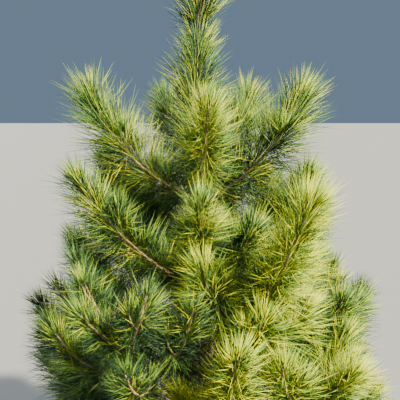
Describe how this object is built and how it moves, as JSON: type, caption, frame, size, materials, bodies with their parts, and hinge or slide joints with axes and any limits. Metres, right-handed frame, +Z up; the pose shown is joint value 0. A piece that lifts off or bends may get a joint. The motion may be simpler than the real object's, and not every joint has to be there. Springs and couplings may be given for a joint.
{
  "type": "young pine tree",
  "caption": "Young long-needled pine, rooted in the ground: a tapering trunk, whorls of rising boughs, needle masses on them and round the leading shoot.",
  "frame": {"origin": "middle of the trunk's flat cut at ground level", "axes": "+Z up along the trunk, +X to the right of the pictured side, +Y away from it"},
  "size_m": [1.3583, 1.3439, 2.25],
  "materials": {
    "bark": "rough, scaly young bark, tan brown with paler leaf bases",
    "needles": "satin green needles, yellower where the sun falls"
  },
  "bodies": {
    "root": {"crown_top_needles": "needles", "leader_needles": "needles", "tier1_back_bough": "bark", "tier1_back_left_bough": "bark", "tier1_back_left_needles": "needles", "tier1_back_needles": "needles", "tier1_back_right_bough": "bark", "tier1_back_right_needles": "needles", "tier1_front_left_bough": "bark", "tier1_front_left_needles": "needles", "tier1_front_right_bough": "bark", "tier1_front_right_needles": "needles", "tier2_back_bough": "bark", "tier2_back_needles": "needles", "tier2_back_right_bough": "bark", "tier2_back_right_needles": "needles", "tier2_front_bough": "bark", "tier2_front_needles": "needles", "tier2_front_right_bough": "bark", "tier2_front_right_needles": "needles", "tier2_left_bough": "bark", "tier2_left_needles": "needles", "tier3_back_bough": "bark", "tier3_back_needles": "needles", "tier3_back_right_bough": "bark", "tier3_back_right_needles": "needles", "tier3_front_left_bough": "bark", "tier3_front_left_needles": "needles", "tier3_front_right_bough": "bark", "tier3_front_right_needles": "needles", "tier3_left_bough": "bark", "tier3_left_needles": "needles", "tier3_right_bough": "bark", "tier3_right_needles": "needles", "tier4_back_left_bough": "bark", "tier4_back_left_needles": "needles", "tier4_back_right_bough": "bark", "tier4_back_right_needles": "needles", "tier4_front_bough": "bark", "tier4_front_left_bough": "bark", "tier4_front_left_needles": "needles", "tier4_front_needles": "needles", "tier4_front_right_bough": "bark", "tier4_front_right_needles": "needles", "tier4_right_bough": "bark", "tier4_right_needles": "needles", "tier5_back_left_bough": "bark", "tier5_back_left_needles": "needles", "tier5_back_right_bough": "bark", "tier5_back_right_needles": "needles", "tier5_front_bough": "bark", "tier5_front_needles": "needles", "tier5_left_bough": "bark", "tier5_left_needles": "needles", "tier5_right_bough": "bark", "tier5_right_needles": "needles", "trunk": "bark", "trunk_needles": "needles"}
  },
  "joints": []
}
